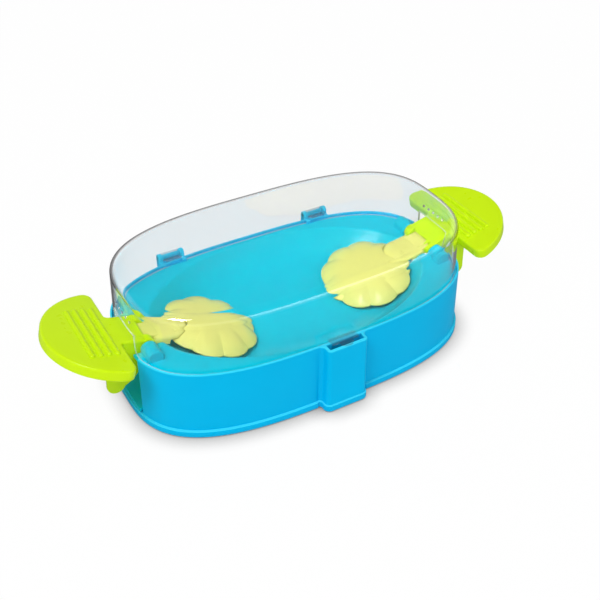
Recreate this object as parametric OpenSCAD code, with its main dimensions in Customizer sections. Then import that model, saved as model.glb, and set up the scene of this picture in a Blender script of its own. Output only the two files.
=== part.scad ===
// Dog puzzle toy: an oval tub with a treat bowl, a hinged clear lid and two paw levers.
// Origin is the middle of the resting plane, +X runs to the right paddle, +Y to the lid hinge, +Z up.

/* [Body] */
// outside length of the tub at the rim
body_len = 300; // [240:1:370]
// outside width of the tub at the rim
body_wid = 167; // [130:1:210]
// height of the tub rim above the table
body_h = 62; // [50:1:80]
// squareness of the oval plan, 2 is an ellipse
plan_pow = 3; // [2.4:0.1:4]
// wall thickness of the blue mouldings
wall = 2.4; // [1.8:0.1:3.4]
// height of the skirt step at the foot of the tub
skirt_h = 6.8; // [4:0.2:9]
// how far the skirt stands out from the wall
skirt_out = 1.8; // [0.6:0.1:3]
// width of the latch boss on the front
boss_w = 36; // [28:1:48]
// how far the latch boss stands out from the wall
boss_out = 9.8; // [8:0.2:13]

/* [Tray] */
// depth of the tray deck below the rim
deck_drop = 3; // [2:0.2:5]
// margin between the bowl edge and the ends of the tub
bowl_end = 26; // [22:0.5:34]
// margin between the bowl edge and the sides of the tub
bowl_side = 6.5; // [5.5:0.5:10]
// flatness of the bowl floor, larger is flatter
bowl_pow = 6; // [3.5:0.1:7]
// half width of the treat chute at each end
slot_hw = 25; // [22:0.5:30]
// height of the outer lip of the chute
lip_z = 10; // [9:0.5:14]
// depth of the flat lane between the chutes below the bowl floor
lane_drop = 0.4; // [0.3:0.05:0.8]
// slope of the chute
chute_slope = 25; // [20:1:30]

/* [Lid] */
// lid height above the tub rim
lid_rise = 49; // [40:1:60]
// lid wall thickness
lid_wall = 2; // [1.6:0.1:3]
// radius of the rounded top edge of the lid
lid_round = 9; // [6:0.5:14]
// how much the lid walls lean in over their height
lid_draft = 1.5; // [0.5:0.1:4]
// distance of each hinge from the middle of the toy
hinge_x = 72.4; // [56:0.2:92]
// height of the neck opening above the rim
notch_rise = 16; // [13:0.5:22]
// diameter of the air holes
vent_d = 2.4; // [1.6:0.1:4]
// spacing of the air holes
vent_pitch = 6.8; // [5:0.1:9]

/* [Levers] */
// tilt of the lever at rest
tilt = 14; // [11:0.5:17]
// length of each bearing hump along the axle
cap_len = 16; // [14:0.5:18]
// room between the corner of a bearing hump and the lid wall
hump_gap = 0.643; // [0.5:0.001:1.5]
// half width of the lever neck
neck_hw = 18; // [15:0.5:21]
// radius of the half-round paddle
paddle_r = 54.4; // [40:0.2:66]
// depth of the paddle edge
paddle_t = 9; // [6:0.2:13]
// distance of the straight paddle edge from the pivot
edge_u = 23; // [20:0.5:30]
// half width of the arm
arm_hw = 13.5; // [11:0.5:15]
// half length of the paw along the lever
paw_a = 37.8; // [30:0.2:42]
// half width of the paw across the lever
paw_b = 42.6; // [32:0.2:46]
// height of the paw dome above the line through the pivot
dome_w = 8.6; // [6:0.2:11]
// depth of the scallops in the paw edge
lobe = 2.6; // [0:0.2:6]
// distance of the paw middle from the pivot
paw_u = 60.6; // [56:0.2:66]
// height above the table that the side legs leave free under the middle of their round ends
leg_free = 27.3; // [24:0.1:36]

/* [Underside] */
// distance of the corner screw posts from the ends of the tub
post_end = 46.5; // [40:0.5:56]
// distance of the corner screw posts from the sides of the tub
post_side = 27.5; // [25:0.5:32]
// distance of the middle screw posts from the long middle line
mid_y = 27.5; // [18:0.5:36]
// distance of the rubber feet from the ends of the tub
foot_end = 60; // [54:0.5:70]
// distance of the rubber feet from the sides of the tub
foot_side = 37.5; // [30:0.5:44]
// rubber foot diameter
foot_d = 14; // [10:0.5:18]

/* [Fits] */
// running clearance on the axles and hinge pins
run = 0.05; // [0.02:0.01:0.09]
// gap between mouldings that move past each other
gap = 0.4; // [0.3:0.05:0.8]
// lever axle diameter
axle_d = 5; // [4:0.1:6]
// hinge pin diameter
pin_d = 4; // [3:0.1:5]
// base screw diameter
screw_d = 3; // [2.5:0.1:4]
// bearing cap screw diameter
cap_screw_d = 1.9; // [1.6:0.1:2.2]

/* [Hidden] */
$fn = 48;
plan_n = 80;
half_l = body_len / 2;
half_w = body_wid / 2;
// the skirt hangs just clear of the table, the feet carry the toy
skirt_z = 0.8;
plate_z = 2;
plate_top = plate_z + wall;
deck_z = body_h - deck_drop;
flange_z = deck_z - wall;
lip_t = wall - 0.9;
tray_in = lip_t + 0.2;
// pivots stand level with the rim, as far out as the humps fit under the lid
piv_z = body_h;
// lever heights are measured square to the plank, from the pivot
top_w = 6;
cap_w = 3.2;
cap_u = -2;
plate_t = 2.2;
hub_r = 6.4;
hub_in = 10;
hub_out = neck_hw;
// the deck stays closed over the chute but for the lever's own slot
gate_hw = neck_hw + gap + 0.1;
tang_hw = hub_in - gap;
tang_u = 15;
arm_end_u = 24.5;
arm_low = 0.6;
arm_bot = -3.6;
leg_t = 3.4;
leg_w = piv_z - leg_free;
leg_u = 21.5;
leg_r = 7.5;
bowl_a = half_l - bowl_end;
bowl_b = half_w - bowl_side;
paw_rim = -2.6;
paw_t = 3.6;
paw_pow = 4.2;
// the bowl floor lies just under the inner tip of the resting paw
paw_tip = paw_u + paw_a + 0.28 * lobe;
bowl_z = piv_z - paw_tip * sin(tilt) + paw_rim * cos(tilt) - gap;
bowl_n = 64;
flat_q = 0.3;
lip_x = half_l + 2;
lane_z = bowl_z - lane_drop;
lane_x = 0.25 * bowl_a;
chute_x = lip_x - (lane_z - lip_z) / tan(chute_slope);
sill_z = lip_z - wall - 0.4;
// mouth of the chute tunnel under the paw, and its ceiling under the bowl slope
gate_x = chute_x + 1;
gate_z = lane_z + 4;
roof_x = bowl_a;
roof_z = deck_z - 5.5;
// bearing caps and their pedestals
cap_r = 6.2;
cap_y0 = gate_hw;
cap_y1 = cap_y0 + cap_len;
axle_y = cap_y1 - 1.5;
cap_sx = axle_d / 2 + cap_screw_d / 2 + 0.65;
cap_sy = cap_y1 - 4.5;
ped_z = deck_z - 10;
// lid
lid_z = deck_z + 0.3;
lid_top = body_h + lid_rise;
lid_in = lip_t + 1;
piv_x = oval_x(cap_y1, -lid_in - lid_wall) - cap_r - hump_gap;
notch_hw = neck_hw + 2.5;
notch_z = body_h + notch_rise;
vent_z = notch_z + 8.5;
// hinge
hinge_y = half_w + 2;
hinge_z = body_h + 2;
lug_r = pin_d / 2 + 1.6;
lug_t = 4;
lug_hw = 12;
knuckle_hw = lug_hw - lug_t - gap;
// lugs and knuckles root in the walls that carry them
lug_y = oval_y(hinge_x + lug_hw, -wall);
knuckle_y = oval_y(hinge_x + knuckle_hw, -lid_in) - lid_wall / 2;
// shift that puts the middle of the overall box on the origin
frame_y = (half_w + boss_out + skirt_out - hinge_y - lug_r) / 2;
// latch
pocket_w = boss_w - 2 * wall;
pocket_y0 = half_w + 1;
pocket_y1 = half_w + boss_out - wall;
tongue_y = half_w + 3.1;
tongue_t = 1.8;
tongue_hw = 12;
tab_r = 5.8;
// base screws, four at the corners and two under the bowl
post_r = 4.2;
post_x = half_l - post_end;
post_y = half_w - post_side;
posts = [[post_x, post_y], [-post_x, post_y], [post_x, -post_y], [-post_x, -post_y], [0, mid_y], [0, -mid_y]];
head_d = 1.9 * screw_d;
head_h = 1.8;
foot_x = half_l - foot_end;
foot_y = half_w - foot_side;
foot_stem = 5;

// superellipse outline moved out by o
function oval(o) = [for (i = [0:plan_n - 1])
    let (t = 360 * i / plan_n, c = cos(t), s = sin(t))
    let (k = pow(pow(abs(c), plan_pow) + pow(abs(s), plan_pow), -1 / plan_pow))
    [k * (half_l + o) * c, k * (half_w + o) * s]];

// half width of that outline at x
function oval_y(x, o) = (half_w + o) * pow(1 - pow(x / (half_l + o), plan_pow), 1 / plan_pow);

// half length of that outline at y
function oval_x(y, o) = (half_l + o) * pow(1 - pow(y / (half_w + o), plan_pow), 1 / plan_pow);

// ellipse with the bowl's proportions at share q of the edge, moved out by o
function ring(q, o) = [for (i = [0:bowl_n - 1])
    let (t = 360 * i / bowl_n)
    [(q * bowl_a + o) * cos(t), (q * bowl_b + o) * sin(t)]];

// half-round paddle outline with its corners rounded by r
function dee(big, r) =
    let (yc = sqrt((big - r) * (big - r) - r * r), a = atan2(yc, r))
    concat(
        [for (i = [0:32]) let (t = -a + 2 * a * i / 32) [big * cos(t), big * sin(t)]],
        [for (i = [1:8]) let (t = a + (180 - a) * i / 8) [r + r * cos(t), yc + r * sin(t)]],
        [for (i = [0:7]) let (t = 180 + (180 - a) * i / 8) [r + r * cos(t), -yc + r * sin(t)]]);

module prism(o, z0, z1) {
    translate([0, 0, z0])
        linear_extrude(z1 - z0)
            polygon(oval(o));
}

// object frame
module framed() {
    translate([0, frame_y, 0])
        children();
}

// bar along Y
module bar_y(r, y0, y1) {
    translate([0, y1, 0])
        rotate([90, 0, 0])
            cylinder(r = r, h = y1 - y0);
}

// outline in X and Z drawn out along Y over the half width h
module side_y(h) {
    rotate([90, 0, 0])
        linear_extrude(2 * h, center = true)
            children();
}

// both ends of the toy
module ends() {
    children();
    mirror([1, 0, 0])
        children();
}

// lever frame: pivot at its origin, X out along the plank
module lever(side) {
    mirror([side < 0 ? 1 : 0, 0, 0])
        translate([piv_x, 0, piv_z])
            rotate([0, -tilt, 0])
                children();
}

module lug() {
    rotate([90, 0, 90])
        linear_extrude(lug_t, center = true)
            union() {
                translate([hinge_y, hinge_z])
                    circle(r = lug_r);
                polygon([[lug_y, body_h - 14], [hinge_y - 4, body_h - 14],
                    [hinge_y + lug_r, body_h - 6], [hinge_y + lug_r, hinge_z],
                    [hinge_y - lug_r, hinge_z], [hinge_y - lug_r, body_h - 0.4],
                    [lug_y, body_h - 0.4]]);
            }
}

// oval outer wall with skirt, latch pocket and hinge lugs, open above and below
module tub() {
    color("#00a5df") framed()
        difference() {
            union() {
                difference() {
                    union() {
                        prism(0, skirt_z, body_h);
                        prism(skirt_out, skirt_z, skirt_h);
                        translate([-boss_w / 2, -half_w - boss_out, skirt_z])
                            cube([boss_w, boss_out + 6, body_h - skirt_z]);
                        translate([-boss_w / 2 - skirt_out, -half_w - boss_out - skirt_out, skirt_z])
                            cube([boss_w + 2 * skirt_out, boss_out + 6, skirt_h - skirt_z]);
                        for (s = [-1, 1])
                            for (t = [-1, 1])
                                translate([s * hinge_x + t * (lug_hw - lug_t / 2), 0, 0])
                                    lug();
                    }
                    prism(-wall, 0, body_h + 9);
                    prism(-lip_t, flange_z, body_h + 9);
                    prism(1 - wall, 0, plate_top);
                }
            }
            translate([-pocket_w / 2, -pocket_y1, body_h - 24])
                cube([pocket_w, pocket_y1 - pocket_y0, 40]);
            ends()
                translate([half_l - 30, -slot_hw - wall - 0.3, sill_z])
                    cube([60, 2 * (slot_hw + wall + 0.3), body_h]);
            for (s = [-1, 1])
                translate([s * hinge_x, hinge_y, hinge_z])
                    rotate([0, 90, 0])
                        cylinder(d = pin_d, h = 2 * lug_hw + 1, center = true);
        }
}

// bowl body between its floor and the deck, moved out by o
module bowl(o, z1) {
    hull()
        for (i = [0:8])
            let (q = i < 8 ? flat_q + (1 - flat_q) * i / 7 : 1)
            let (z = bowl_z - o + (deck_z - bowl_z) * pow(q, bowl_pow) - (i == 0 ? 0.1 : 0))
            translate([0, 0, i < 8 ? z : z1])
                linear_extrude(0.01)
                    polygon(ring(q, o));
}

// chute outline in X and Z: a sloped floor from the bowl to the lip, with depth d below it
module ramp(d) {
    polygon([[chute_x, lane_z], [lip_x, lip_z], [lip_x, lip_z - d], [chute_x, lane_z - d]]);
}

module chute_walls() {
    polygon([[chute_x, lane_z], [lip_x, lip_z], [lip_x, deck_z], [chute_x, deck_z]]);
}

// room for the resting paw, just under and round its scalloped edge
module paw_well() {
    lever(1)
        translate([-paw_u, 0, paw_rim - gap / 2])
            scale([(paw_a + 0.28 * lobe + gap / 2) / paw_b, (paw_b + 0.28 * lobe + gap / 2) / paw_b, 1])
                cylinder(r = paw_b, h = 40);
}

// treat bowl, deck, chutes, bearing pedestals and screw posts in one moulding
module tray() {
    color("#0cbcdc") framed()
        difference() {
            union() {
                prism(-tray_in, flange_z, deck_z);
                intersection() {
                    bowl(wall, deck_z - 0.02);
                    prism(-wall - 0.3, 0, deck_z);
                }
                intersection() {
                    ends()
                        side_y(slot_hw + wall)
                            chute_walls();
                    prism(-0.2, 0, deck_z);
                }
                intersection() {
                    ends()
                        side_y(slot_hw + wall)
                            ramp(wall);
                    prism(1.4, 0, deck_z);
                }
                ends()
                    for (s = [-1, 1])
                        translate([piv_x - cap_r, s > 0 ? cap_y0 : -cap_y1, ped_z])
                            cube([2 * cap_r, cap_y1 - cap_y0, piv_z - ped_z]);
                for (p = posts)
                    translate([p[0], p[1], plate_top])
                        cylinder(r = post_r, h = (p[0] == 0 ? bowl_z + 1 : deck_z - 1) - plate_top);
            }
            bowl(0, deck_z + 6);
            ends()
                paw_well();
            ends()
                side_y(slot_hw)
                    polygon([[lane_x, lane_z], [chute_x, lane_z],
                        [lip_x + 4, lip_z - 4 * tan(chute_slope)],
                        [lip_x + 4, flange_z], [roof_x + 2.5, flange_z], [roof_x, roof_z],
                        [gate_x, gate_z], [gate_x, piv_z + 9], [lane_x, piv_z + 9]]);
            ends()
                side_y(gate_hw)
                    polygon([[chute_x, lane_z + 2], [lip_x + 4, lip_z], [lip_x + 4, piv_z + 9],
                        [chute_x, piv_z + 9]]);
            ends()
                translate([piv_x, 0, piv_z])
                    bar_y(axle_d / 2, -axle_y, axle_y);
            ends()
                for (s = [-1, 1])
                    for (t = [-1, 1])
                        translate([piv_x + t * cap_sx, s * cap_sy, ped_z - 1])
                            cylinder(d = cap_screw_d + 0.1, h = 20);
            for (p = posts)
                translate([p[0], p[1], plate_top - 1])
                    cylinder(d = screw_d + 0.1, h = 13.5);
        }
}

// floor plate that closes the tub from below
module base_plate() {
    color("#0097d2") framed()
        difference() {
            prism(0.7 - wall, plate_z, plate_top);
            for (p = posts)
                translate([p[0], p[1], 0])
                    cylinder(d = screw_d + 0.3, h = 20);
            for (s = [-1, 1])
                for (t = [-1, 1])
                    translate([s * foot_x, t * foot_y, 0])
                        cylinder(d = foot_stem, h = 20);
        }
}

// push-in rubber feet
module feet() {
    color("#30343a") framed()
        for (s = [-1, 1])
            for (t = [-1, 1])
                translate([s * foot_x, t * foot_y, 0])
                    rotate_extrude()
                        polygon([[0, 0], [foot_d / 2 - 0.8, 0], [foot_d / 2, 0.8], [foot_d / 2, plate_z],
                            [foot_stem / 2, plate_z], [foot_stem / 2, plate_top],
                            [foot_stem / 2 + 0.8, plate_top], [foot_stem / 2 - 0.6, plate_top + 2.4],
                            [0, plate_top + 2.4]]);
}

// screw standing head down at z, with its shank pointing up
module screw(d, hd, hh, len) {
    difference() {
        union() {
            cylinder(d = d, h = hh + len);
            cylinder(d = hd, h = hh);
        }
        for (a = [0, 90])
            rotate(a)
                translate([-0.3 * hd, -0.08 * hd, -1])
                    cube([0.6 * hd, 0.16 * hd, 1 + 0.6 * hh]);
    }
}

module base_screws() {
    color("#b9bcc0") framed()
        for (p = posts)
            translate([p[0], p[1], plate_z - head_h])
                screw(screw_d, head_d, head_h, wall + 12);
}

// lid body moved in by o from its outer face, from z0 up
module dome(o, z0) {
    hull() {
        translate([0, 0, z0])
            linear_extrude(0.01)
                polygon(oval(-lid_in - o));
        for (i = [0:5])
            let (a = 18 * i, r = lid_round - o)
            translate([0, 0, lid_top - lid_round + r * sin(a) - 0.01])
                linear_extrude(0.01)
                    polygon(oval(-lid_in - lid_draft - o - r * (1 - cos(a))));
    }
}

// clear cover with neck openings, air holes, hinge knuckles and the latch tongue
module lid() {
    color("#dfe9ee", 0.35) framed()
        difference() {
            union() {
                difference() {
                    dome(0, lid_z);
                    dome(lid_wall, lid_z - 1);
                }
                for (s = [-1, 1])
                    translate([s * hinge_x, 0, 0])
                        rotate([90, 0, 90])
                            linear_extrude(2 * knuckle_hw, center = true)
                                union() {
                                    translate([hinge_y, hinge_z])
                                        circle(r = lug_r);
                                    polygon([[knuckle_y, hinge_z + 0.2], [hinge_y, hinge_z + 0.2],
                                        [hinge_y, hinge_z + lug_r], [knuckle_y, hinge_z + lug_r]]);
                                }
                translate([-tongue_hw, -tongue_y - tongue_t, body_h + gap])
                    cube([2 * tongue_hw, tongue_y + tongue_t + lid_in + lid_wall / 2 - half_w, tongue_t]);
                translate([0, -tongue_y - tongue_t, body_h + gap])
                    cylinder(r = tab_r, h = tongue_t);
                translate([-tongue_hw, -tongue_y - tongue_t, body_h - 18])
                    cube([2 * tongue_hw, tongue_t, 18 + gap + tongue_t / 2]);
                translate([0, -tongue_y - tongue_t, body_h - 14])
                    rotate([0, 90, 0])
                        cylinder(r = 0.9, h = 2 * tongue_hw - 4, center = true);
            }
            ends()
                translate([half_l - 25, -notch_hw, lid_z - 9])
                    cube([50, 2 * notch_hw, notch_z - lid_z + 9]);
            ends()
                for (i = [-2:2])
                    translate([half_l - 20, i * vent_pitch, vent_z])
                        rotate([0, 90, 0])
                            cylinder(d = vent_d, h = 40, $fn = 24);
            for (s = [-1, 1])
                translate([s * hinge_x, hinge_y, hinge_z])
                    rotate([0, 90, 0])
                        cylinder(d = pin_d + 2 * run, h = 2 * lug_hw, center = true);
        }
}

module hinge_pins() {
    color("#0097d2") framed()
        for (s = [-1, 1])
            translate([s * hinge_x, hinge_y, hinge_z])
                rotate([0, 90, 0])
                    cylinder(d = pin_d, h = 2 * lug_hw, center = true);
}

// half-round plate with a rounded top edge, hollow below
module dee_plate() {
    difference() {
        hull() {
            for (k = [[0, -paddle_t], [0, -2.2], [0.8, -0.7], [2.4, -0.01]])
                translate([k[0], 0, top_w + k[1]])
                    linear_extrude(0.01)
                        polygon(dee(paddle_r - k[0] * 2, 7 - k[0]));
        }
        translate([plate_t, 0, top_w - paddle_t - 1])
            linear_extrude(paddle_t + 1 - plate_t)
                polygon(dee(paddle_r - 2 * plate_t, 7 - plate_t));
    }
}

// side leg that swings into the chute
module leg() {
    union() {
        polygon([[-4, cap_w + 0.6], [edge_u + 14, cap_w + 0.6], [leg_u + leg_r, -leg_w],
            [leg_u - leg_r, -leg_w], [0.35 * leg_u, 5 - leg_w], [-4, -5]]);
        translate([leg_u, -leg_w])
            circle(r = leg_r);
    }
}

// green pedal: ribbed half-round plate, neck, legs and hub barrels
module paddle(side) {
    color("#c4ea00") framed()
        lever(side)
            difference() {
                union() {
                    translate([edge_u, 0, 0])
                        dee_plate();
                    for (i = [0:3])
                        translate([edge_u + 7.5 + 6.5 * i, 0, top_w - 0.6]) {
                            bar_y(1.9, -30, 30);
                            for (s = [-1, 1])
                                translate([0, 30 * s, 0])
                                    sphere(r = 1.9);
                        }
                    translate([-cap_u, -neck_hw, cap_w])
                        cube([edge_u + cap_u + 4, 2 * neck_hw, top_w - cap_w]);
                    translate([-cap_u, 0, (cap_w + top_w) / 2])
                        bar_y((top_w - cap_w) / 2, -neck_hw, neck_hw);
                    for (s = [-1, 1])
                        translate([0, s * (neck_hw - leg_t / 2), 0])
                            side_y(leg_t / 2)
                                leg();
                    for (s = [-1, 1])
                        bar_y(hub_r, s > 0 ? hub_in : -hub_out, s > 0 ? hub_out : -hub_in);
                }
                bar_y(axle_d / 2 + run, -40, 40);
                for (s = [-1, 1])
                    translate([11, 5 * s, 0])
                        cylinder(d = screw_d + 0.1, h = cap_w + 1.9);
            }
}

// pale arm: a bar with a round end over the paw and a tang between the hub barrels
module arm(side) {
    color("#e6e68c") framed()
        lever(side)
            difference() {
                union() {
                    translate([4.5 - arm_end_u, -arm_hw, arm_bot])
                        cube([arm_end_u - 4.5 - hub_r - 0.6, 2 * arm_hw, cap_w - arm_bot]);
                    translate([-arm_end_u, -arm_hw, arm_low])
                        cube([10, 2 * arm_hw, cap_w - arm_low]);
                    translate([-arm_end_u, 0, arm_low])
                        cylinder(r = arm_hw, h = cap_w - arm_low);
                    translate([-9, -tang_hw, -5.2])
                        cube([9 + tang_u, 2 * tang_hw, 5.2 + cap_w]);
                }
                bar_y(axle_d / 2 + run, -40, 40);
                for (s = [-1, 1])
                    translate([11, 5 * s, -9])
                        cylinder(d = screw_d + 0.1, h = 20);
                for (s = [-1, 1])
                    translate([-arm_end_u - 2, 8 * s, -9])
                        cylinder(d = 3.1, h = 20);
            }
}

// closed paw profile from the top middle over the rim to the middle underneath: share of radius, height
paw_ring = concat(
    [for (q = [0.3, 0.55, 0.7, 0.82, 0.92, 1]) [q, dome_w - (dome_w + 1) * pow(q, paw_pow)]],
    [[1, paw_rim]],
    [[0.93, paw_rim]],
    [for (q = [0.86, 0.76, 0.6, 0.3]) [q, dome_w - paw_t - (dome_w + 1) * pow(q / 0.93, paw_pow) * 0.75]]);
paw_n = 54;
function paw_edge(t, q) = q * (1 + q * q * lobe / paw_b * (pow(abs(cos(4.5 * t)), 0.8) - 0.72));
function paw_points() = concat(
    [[0, 0, dome_w]],
    [for (k = paw_ring) for (i = [0:paw_n - 1])
        let (t = 360 * i / paw_n, r = paw_edge(t, k[0]))
        [-r * paw_a * cos(t), r * paw_b * sin(t), k[1]]],
    [[0, 0, dome_w - paw_t]]);
paw_k = len(paw_ring);
function paw_faces() = concat(
    [for (i = [0:paw_n - 1]) [0, 1 + i, 1 + (i + 1) % paw_n]],
    [for (k = [0:paw_k - 2]) for (i = [0:paw_n - 1])
        [1 + k * paw_n + i, 1 + (k + 1) * paw_n + i, 1 + (k + 1) * paw_n + (i + 1) % paw_n]],
    [for (k = [0:paw_k - 2]) for (i = [0:paw_n - 1])
        [1 + k * paw_n + i, 1 + (k + 1) * paw_n + (i + 1) % paw_n, 1 + k * paw_n + (i + 1) % paw_n]],
    [for (i = [0:paw_n - 1])
        [1 + (paw_k - 1) * paw_n + i, 1 + paw_k * paw_n, 1 + (paw_k - 1) * paw_n + (i + 1) % paw_n]]);

// scalloped domed paw shell with a flat tail that carries the arm
module paw(side) {
    color("#e8e67c") framed()
        lever(side)
            difference() {
                union() {
                    difference() {
                        translate([-paw_u, 0, 0])
                            polyhedron(paw_points(), paw_faces());
                        translate([-arm_end_u, 0, arm_low - 0.05])
                            cylinder(r = arm_hw + gap, h = 20);
                        translate([-arm_end_u, -arm_hw - gap, arm_low - 0.05])
                            cube([40, 2 * (arm_hw + gap), 20]);
                        translate([0.1 - 20, -40, -20])
                            cube([40, 80, 40]);
                    }
                    translate([-arm_end_u - 15.5, -11, paw_rim])
                        cube([18, 22, arm_low - paw_rim]);
                }
                for (s = [-1, 1])
                    translate([-arm_end_u - 2, 8 * s, -9])
                        cylinder(d = 3.1, h = 20);
            }
}

module axle(side) {
    color("#c9ccd0") framed()
        translate([side * piv_x, 0, piv_z])
            bar_y(axle_d / 2, -axle_y, axle_y);
}

// half-round bearing caps that close over the axle ends
module pivot_caps(side) {
    color("#0cbcdc") framed()
        translate([side * piv_x, 0, piv_z])
            for (s = [-1, 1])
                difference() {
                    intersection() {
                        bar_y(cap_r, s > 0 ? cap_y0 : -cap_y1, s > 0 ? cap_y1 : -cap_y0);
                        translate([-20, -60, 0])
                            cube([40, 120, 20]);
                    }
                    bar_y(axle_d / 2, -axle_y, axle_y);
                    for (t = [-1, 1])
                        translate([t * cap_sx, s * cap_sy, -1])
                            cylinder(d = cap_screw_d + 0.1, h = 4.6);
                }
}

module cap_screws(side) {
    color("#b9bcc0") framed()
        for (s = [-1, 1])
            for (t = [-1, 1])
                translate([side * piv_x + t * cap_sx, s * cap_sy, ped_z - 1.4])
                    screw(cap_screw_d, 2 * cap_screw_d, 1.4, piv_z - ped_z + 3.2);
}

module arm_screws(side) {
    color("#b9bcc0") framed()
        lever(side)
            for (s = [-1, 1])
                translate([11, 5 * s, -5.2 - 1.6])
                    screw(screw_d, 1.8 * screw_d, 1.6, 5.2 + cap_w + 1.6);
}

module paw_rivets(side) {
    color("#e8e67c") framed()
        lever(side)
            for (s = [-1, 1])
                translate([-arm_end_u - 2, 8 * s, paw_rim]) {
                    cylinder(d = 3, h = cap_w - paw_rim);
                    translate([0, 0, cap_w - paw_rim])
                        cylinder(d1 = 5, d2 = 3, h = 1.1);
                }
}

tub();
tray();
base_plate();
feet();
base_screws();
lid();
hinge_pins();
paddle(-1);  // left_paddle
arm(-1);  // left_arm
paw(-1);  // left_paw
axle(-1);  // left_axle
pivot_caps(-1);  // left_pivot_caps
cap_screws(-1);  // left_cap_screws
arm_screws(-1);  // left_arm_screws
paw_rivets(-1);  // left_paw_rivets
paddle(1);  // right_paddle
arm(1);  // right_arm
paw(1);  // right_paw
axle(1);  // right_axle
pivot_caps(1);  // right_pivot_caps
cap_screws(1);  // right_cap_screws
arm_screws(1);  // right_arm_screws
paw_rivets(1);  // right_paw_rivets
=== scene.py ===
"""Looks of the dog puzzle toy: oval blue tub, clear hinged lid, two green and yellow paw levers.

Sizes are in millimetres on the toy's own middle lines (the lever pivots lie at y = 0);
placed() brings them to metres in the shared frame, where the toy stands 3 mm further back.
"""
import math
import bpy
import numpy as np
from mathutils import Matrix, Vector


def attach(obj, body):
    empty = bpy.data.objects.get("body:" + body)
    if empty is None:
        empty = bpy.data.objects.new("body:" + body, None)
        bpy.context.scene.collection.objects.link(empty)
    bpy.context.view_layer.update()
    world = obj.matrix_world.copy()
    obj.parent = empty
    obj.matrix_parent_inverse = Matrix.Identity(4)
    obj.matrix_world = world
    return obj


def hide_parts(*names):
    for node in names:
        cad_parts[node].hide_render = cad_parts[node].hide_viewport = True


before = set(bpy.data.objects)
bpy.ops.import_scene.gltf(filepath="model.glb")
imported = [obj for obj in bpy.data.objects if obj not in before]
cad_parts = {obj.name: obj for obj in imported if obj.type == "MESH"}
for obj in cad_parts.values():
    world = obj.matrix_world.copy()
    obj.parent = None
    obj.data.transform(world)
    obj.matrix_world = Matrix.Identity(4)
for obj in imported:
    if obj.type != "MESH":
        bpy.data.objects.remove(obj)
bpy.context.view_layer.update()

MM = 0.001                  # a millimetre in metres
FRAME_Y = 3.0               # the toy's middle line in the shared frame
CRISP = math.radians(32)    # edges sharper than this aren't smoothed

# tub: half axes of the oval, rim, thickness of the blue walls, inset of the rim's crest
HALF_L, HALF_W, RIM_Z, WALL, CREST_IN = 150.0, 83.5, 62.0, 2.4, 0.87
# end openings: sill and half width
SILL_Z, JAMB_HW = 7.2, 28.4
# latch boss: front face, middle and radius of its fillets and of its corners, share of the skirt on it
BOSS_Y, SKIRT_SHARE = 93.3, 0.62
FILLET_X, FILLET_Y, FILLET_R = 22.0, 87.5, 4.0
CORNER_X, CORNER_Y, CORNER_R = 14.5, 89.8, 3.5
# latch pocket: half width, back wall, floor
POCKET_HW, POCKET_Y, POCKET_Z = 15.6, 84.5, 38.0
# hinge loops: pin, eye, place and half thickness of the plates, half length of the web between them
HINGE_X, HINGE_Y, HINGE_Z, EYE_R = 72.4, 85.5, 64.0, 3.6
LUG_X, LUG_HALF, WEB_HW = 10.0, 2.0, 8.2

# tray: deck, bowl's half axes, floor and power, width of the eased edge, half length and inset of the sheet
DECK_Z, BOWL_A, BOWL_B, BOWL_Z, BOWL_POW = 59.0, 124.0, 77.0, 35.1, 6.0
EASE, SHEET_L, SHEET_IN = 1.2, 147.6, 1.7
# chute: start and height of the level lane, start and slope of the slide, end of the walls, outlet
LANE_X, LANE_Z, CHUTE_X, CHUTE_SLOPE = 52.0, 34.7, 99.0, math.radians(25)
WALL_X, OUTLET_X, SKIM = 147.4, 151.2, 0.05
# room in the sheet: half width over the lane, start of the arm's slot, start and half width of the hub's room
SLOT_HW, GATE_X, HUB_X, GATE_HW, LAP = 25.0, 100.0, 127.0, 18.5, 0.5

# lever: pivot and tilt of the plank
PIVOT_X, PIVOT_Z, TILT = 134.5, 62.0, math.radians(14)
# bearing hump: radius, radius of its flat end, rounding, inner end, start of the rounding, foot
HUMP_R, HUMP_END_R, HUMP_ROUND = 6.2, 5.0, 1.2
HUMP_IN, HUMP_TURN, HUMP_FOOT = 18.6, 33.2, 58.6
# pedal: radius and middle of the half-round plate, its corners, half width of the neck, its fillets
PLATE_R, PLATE_U, PLATE_CORNER = 54.4, 23.0, 7.0
NECK_HW, NECK_FILLET, NECK_END, NECK_ROUND = 18.0, 3.0, 3.4, 2.8
# ribs: number, first one, pitch, half width, half length
RIBS, RIB_U, RIB_PITCH, RIB_HW, RIB_V = 4, 30.5, 6.5, 2.1, 30
# arm: half width, middle of the round end, half width of the tang; paw: middle and half axes
ARM_HW, ARM_END, TANG_HW = 13.5, 24.5, 9.6
PAW_U, PAW_A, PAW_B = 60.6, 37.8, 42.6

# lid: inset from the tub, foot, top, wall, draft, edge radius, rise of the crown
LID_IN, LID_Z, LID_TOP = 2.5, 59.4, 111.0
LID_WALL, LID_DRAFT, LID_EDGE, LID_CROWN = 2.0, 1.5, 9.0, 0.6
# neck opening: half width, height, flare of its feet; air holes: radius, pitch, height above the opening
NOTCH_HW, NOTCH_Z, FLARE = 20.5, 78.0, 8.0
HOLE_R, HOLE_PITCH, HOLE_UP = 1.2, 6.8, 8.5
# hinge knuckle: half length; latch tongue: half width, front face; radius of the thumb tab
KNUCKLE_HW, TONGUE_HW, TONGUE_Y, TAB_R = 7.6, 12.0, 88.4, 5.8

# camera fitted to the photograph: lens and frame in millimetres, place in metres, line of sight, roll
LENS, SENSOR = 55.66, 36.0
CAMERA_AT, CAMERA_LOOK = (-0.30732, -0.54754, 0.51817), (0.39890, 0.69309, -0.60043)
CAMERA_ROLL = 0.0057


# surfaces

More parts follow.
